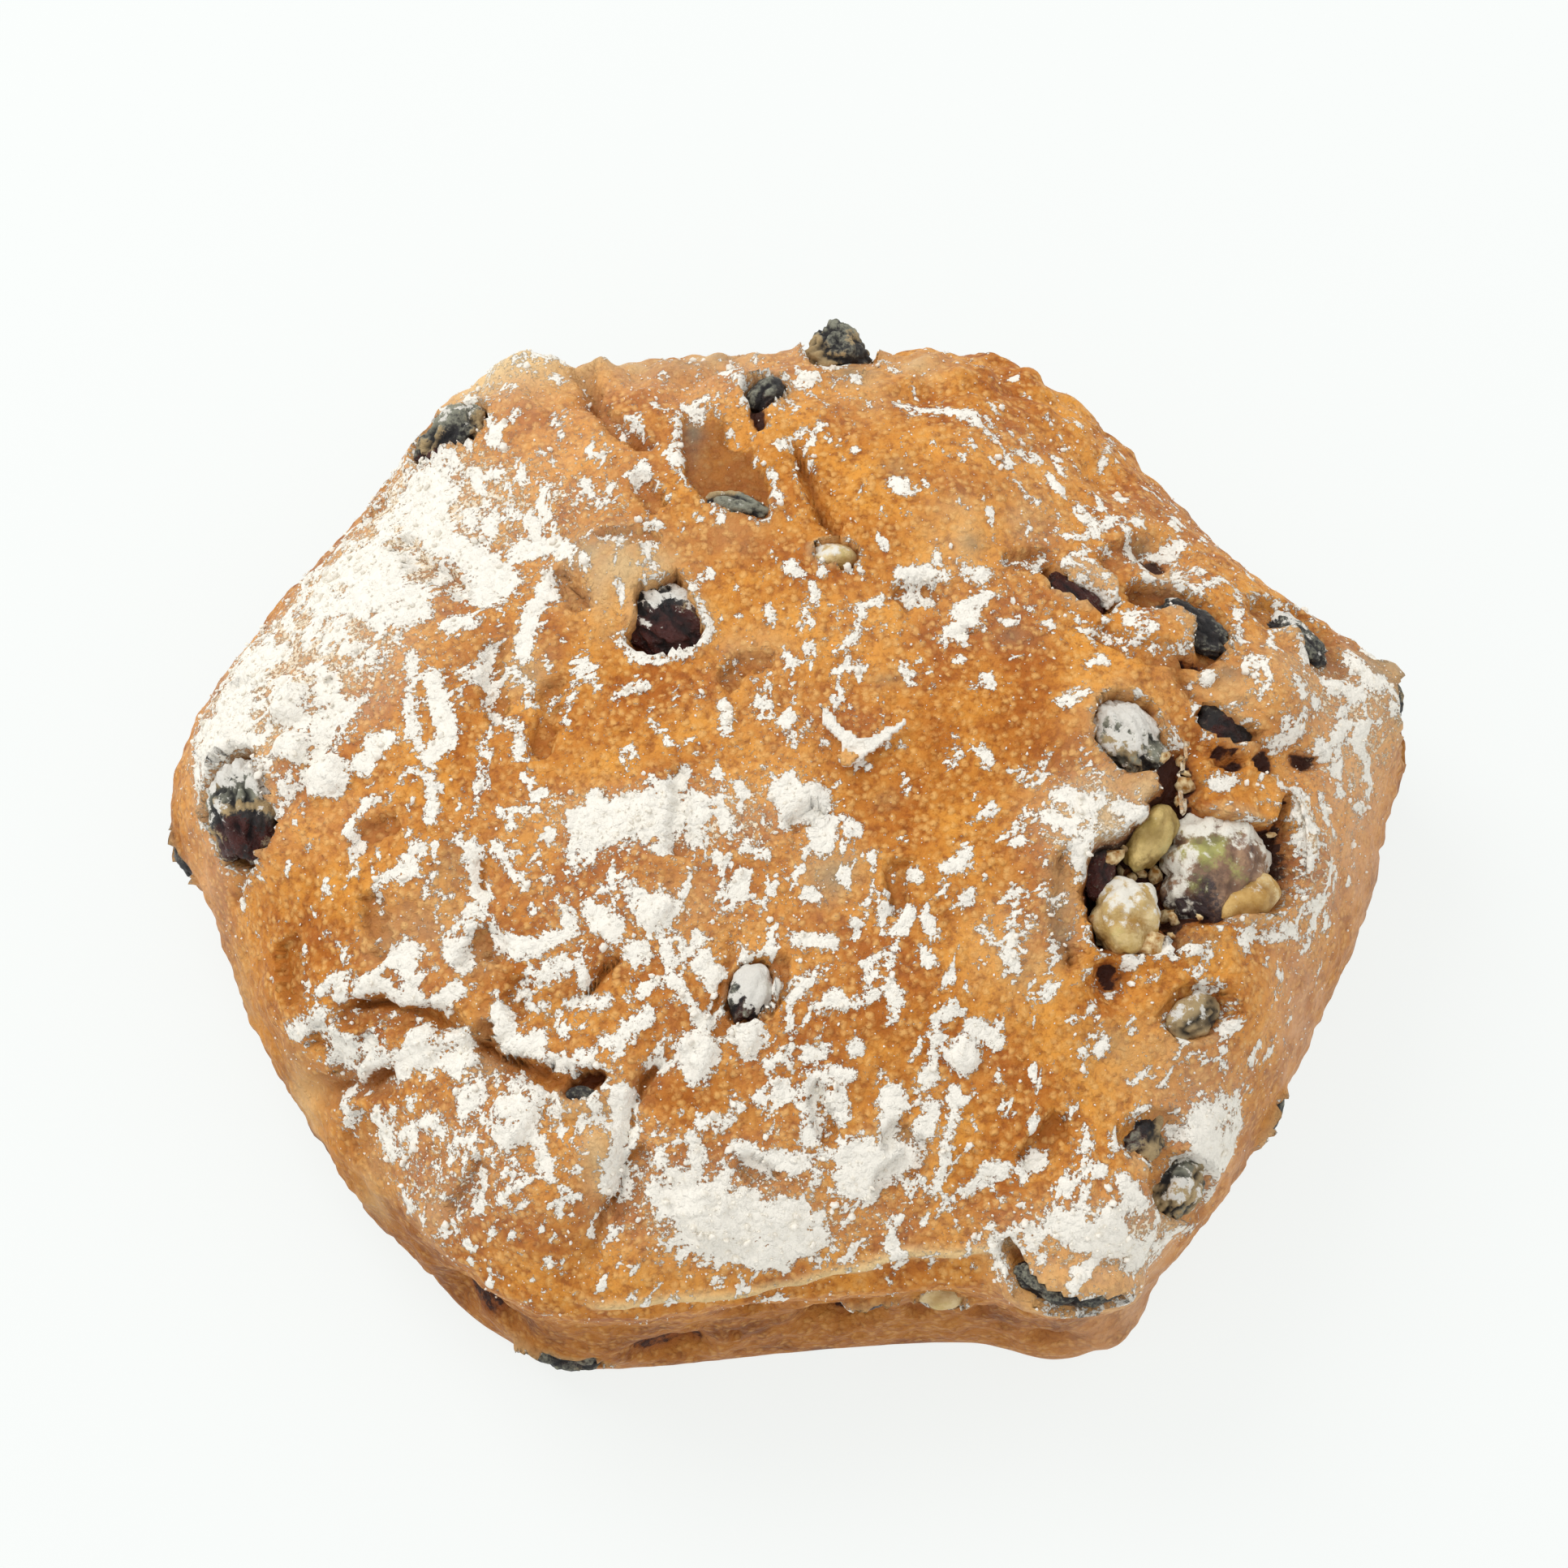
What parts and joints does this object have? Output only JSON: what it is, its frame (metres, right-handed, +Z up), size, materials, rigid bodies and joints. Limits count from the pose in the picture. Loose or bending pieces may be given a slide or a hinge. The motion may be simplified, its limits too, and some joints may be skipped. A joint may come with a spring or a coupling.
{
  "type": "nut raisin bun",
  "caption": "Flat six-sided bread bun with a browned, floured crust, raisins and walnuts showing on its top and sides.",
  "frame": {"origin": "on the table, at the middle of the bun's box seen from above", "axes": "+X along the long side to side width, +Y towards the back, away from the flat cut side, +Z up"},
  "size_m": [0.1206, 0.1019, 0.0387],
  "materials": {
    "crust": "matte browned bread crust, dusted with flour",
    "raisin": "wrinkled raisin skin, satin",
    "nut_flesh": "pale waxy nut kernel",
    "walnut_skin": "matte brown walnut skin"
  },
  "bodies": {
    "root": {"bun": "crust", "raisin_left": "raisin", "raisin_corner": "raisin", "raisin_tear": "raisin", "raisin_peak": "raisin", "raisin_back": "raisin", "raisin_pocket": "raisin", "raisin_red": "raisin", "raisin_hook": "raisin", "raisin_slit": "raisin", "raisin_slope": "raisin", "raisin_right": "raisin", "raisin_grey": "raisin", "raisin_cave": "raisin", "raisin_flat": "raisin", "raisin_low": "raisin", "raisin_low_grey": "raisin", "raisin_front": "raisin", "raisin_edge_right": "raisin", "raisin_edge_left": "raisin", "raisin_base": "raisin", "raisin_crack": "raisin", "raisin_floured": "raisin", "raisin_side": "raisin", "nut_walnut": "walnut_skin", "nut_peeled": "nut_flesh", "nut_upper": "nut_flesh", "nut_lower": "nut_flesh", "nut_side": "nut_flesh", "nut_seed": "nut_flesh"}
  },
  "joints": []
}
